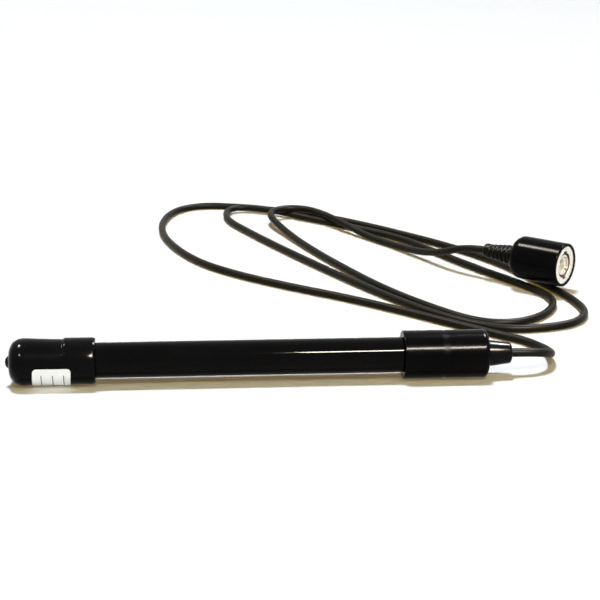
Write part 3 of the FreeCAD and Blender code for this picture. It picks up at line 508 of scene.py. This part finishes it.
def lay_cable(boot):
    """The free cable, one smooth curve from gland to boot."""
    data = bpy.data.curves.new("signal_cable", "CURVE")
    data.dimensions = "3D"
    data.bevel_depth = CABLE_DIAMETER / 2
    data.bevel_resolution = SECTION_RESOLUTION
    data.resolution_u = ROUTE_RESOLUTION
    data.use_fill_caps = True
    spline = data.splines.new("NURBS")
    spline.points.add(len(CABLE_ROUTE) - 1)
    for point, place in zip(spline.points, CABLE_ROUTE):
        point.co = (*(Vector(place) * MM), 1.0)
    spline.order_u = 3
    spline.use_endpoint_u = True
    spline.use_smooth = True
    piece = bpy.data.objects.new("signal_cable", data)
    bpy.context.scene.collection.objects.link(piece)
    data.materials.append(MATERIALS["cable_jacket"])
    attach(piece, "electrode")
    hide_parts("cable")


# Floor and light

FLOOR_HALF = 4.0
FLOOR_GREY = (0.80, 0.80, 0.80)
FLOOR_TONE = (0.80, 0.86, 0.95)
FLOOR_GLOW = (0.12, 0.07, 0.0)
GLOSS_FLOOR = (0.2, 0.2, 0.2)
WHITE = (1.0, 1.0, 1.0)
AMBIENT = (0.085, 0.078, 0.062)


def ray_share(tree, *kinds):
    """1 for rays of the given kinds, and 0 for light that spreads."""
    share = add_node(tree, "LightPath", output=kinds[0])
    for kind in kinds[1:]:
        share = share.math("MAXIMUM", add_node(tree, "LightPath", output=kind))
    return share


def lay_floor():
    """Pale floor that shows white, to the camera and in gloss, and keeps the object's shadow."""
    mesh = bpy.data.meshes.new("floor")
    build = bmesh.new()
    bmesh.ops.create_grid(build, x_segments=1, y_segments=1, size=FLOOR_HALF)
    build.to_mesh(mesh)
    build.free()
    floor = bpy.data.objects.new("floor", mesh)
    bpy.context.scene.collection.objects.link(floor)
    finish = Finish("floor", Roughness=1.0, Specular_IOR_Level=0.0)
    seen = ray_share(finish.tree, "Is Camera Ray")
    mirrored = ray_share(finish.tree, "Is Glossy Ray", "Is Transmission Ray")
    finish.set(Base_Color=finish.mix(seen, FLOOR_GREY, FLOOR_TONE))
    finish.set(Emission_Color=finish.mix(mirrored, FLOOR_GLOW, GLOSS_FLOOR))
    finish.set(Emission_Strength=seen.math("MAXIMUM", mirrored))
    mesh.materials.append(finish.material)


def light_world():
    """White surroundings for what is seen, and a faint even light on the object."""
    world = bpy.data.worlds.new("studio")
    world.use_nodes = True
    bpy.context.scene.world = world
    tree = world.node_tree
    shown = ray_share(tree, "Is Camera Ray", "Is Glossy Ray", "Is Transmission Ray")
    put(tree, tree.nodes["Background"].inputs["Color"], mix_colours(tree, shown, AMBIENT, WHITE))


def area_light(name, place, aim, size, radiance, colour=WHITE, diffuse=True, gloss=True):
    """A rectangular lamp that looks at a point, as bright as a surface of that radiance."""
    data = bpy.data.lights.new(name, "AREA")
    data.shape = "RECTANGLE"
    data.size, data.size_y = size
    data.energy = math.pi * size[0] * size[1] * radiance
    data.color = colour
    lamp = bpy.data.objects.new(name, data)
    place, aim = Vector(place), Vector(aim)
    turned = (aim - place).to_track_quat("-Z", "Y").to_matrix().to_4x4()
    lamp.matrix_world = Matrix.Translation(place) @ turned
    lamp.visible_diffuse = diffuse
    lamp.visible_glossy = gloss
    bpy.context.scene.collection.objects.link(lamp)


def light_object():
    """A high lamp, a warm one in front and a low fill, and panels that only gloss shows."""
    area_light("key", place=(-0.3, 0.75, 4.0), aim=(0.0, 0.35, 0.0), size=(0.6, 0.6),
               radiance=132.0, colour=(0.97, 1.0, 1.04), gloss=False)
    area_light("front", place=(0.15, -1.5, 1.72), aim=(0.03, 0.08, 0.0), size=(0.8, 0.5),
               radiance=12.6, colour=(1.0, 0.87, 0.52), gloss=False)
    area_light("fill", place=(-0.3, -2.0, 0.35), aim=(0.0, 0.0, 0.01), size=(1.5, 0.6),
               radiance=4.4, colour=(0.94, 1.0, 1.14), gloss=False)
    area_light("strip", place=(0.25, -0.48, 0.54), aim=(0.10, 0.0, 0.01), size=(0.36, 0.06),
               radiance=560.0, colour=(1.0, 0.90, 0.76), diffuse=False)
    area_light("near_panel", place=(-0.36, -0.40, 0.56), aim=(-0.08, 0.0, 0.01), size=(0.08, 0.08),
               radiance=160.0, diffuse=False)
    area_light("left_panel", place=(-0.95, 0.7, 2.2), aim=(0.0, 0.05, 0.0), size=(0.42, 0.3),
               radiance=270.0, colour=(1.0, 0.88, 0.78), diffuse=False)
    area_light("right_panel", place=(0.95, 1.05, 2.0), aim=(0.05, 0.05, 0.0), size=(0.5, 0.5),
               radiance=200.0, colour=(0.92, 0.9, 1.0), diffuse=False)


place_camera()
dress_nodes()
vinyl_cap()
paper_label()
rubber_gland()
lay_cable(ribbed_boot())
lay_floor()
light_world()
light_object()
bpy.context.scene.view_settings.view_transform = "Standard"
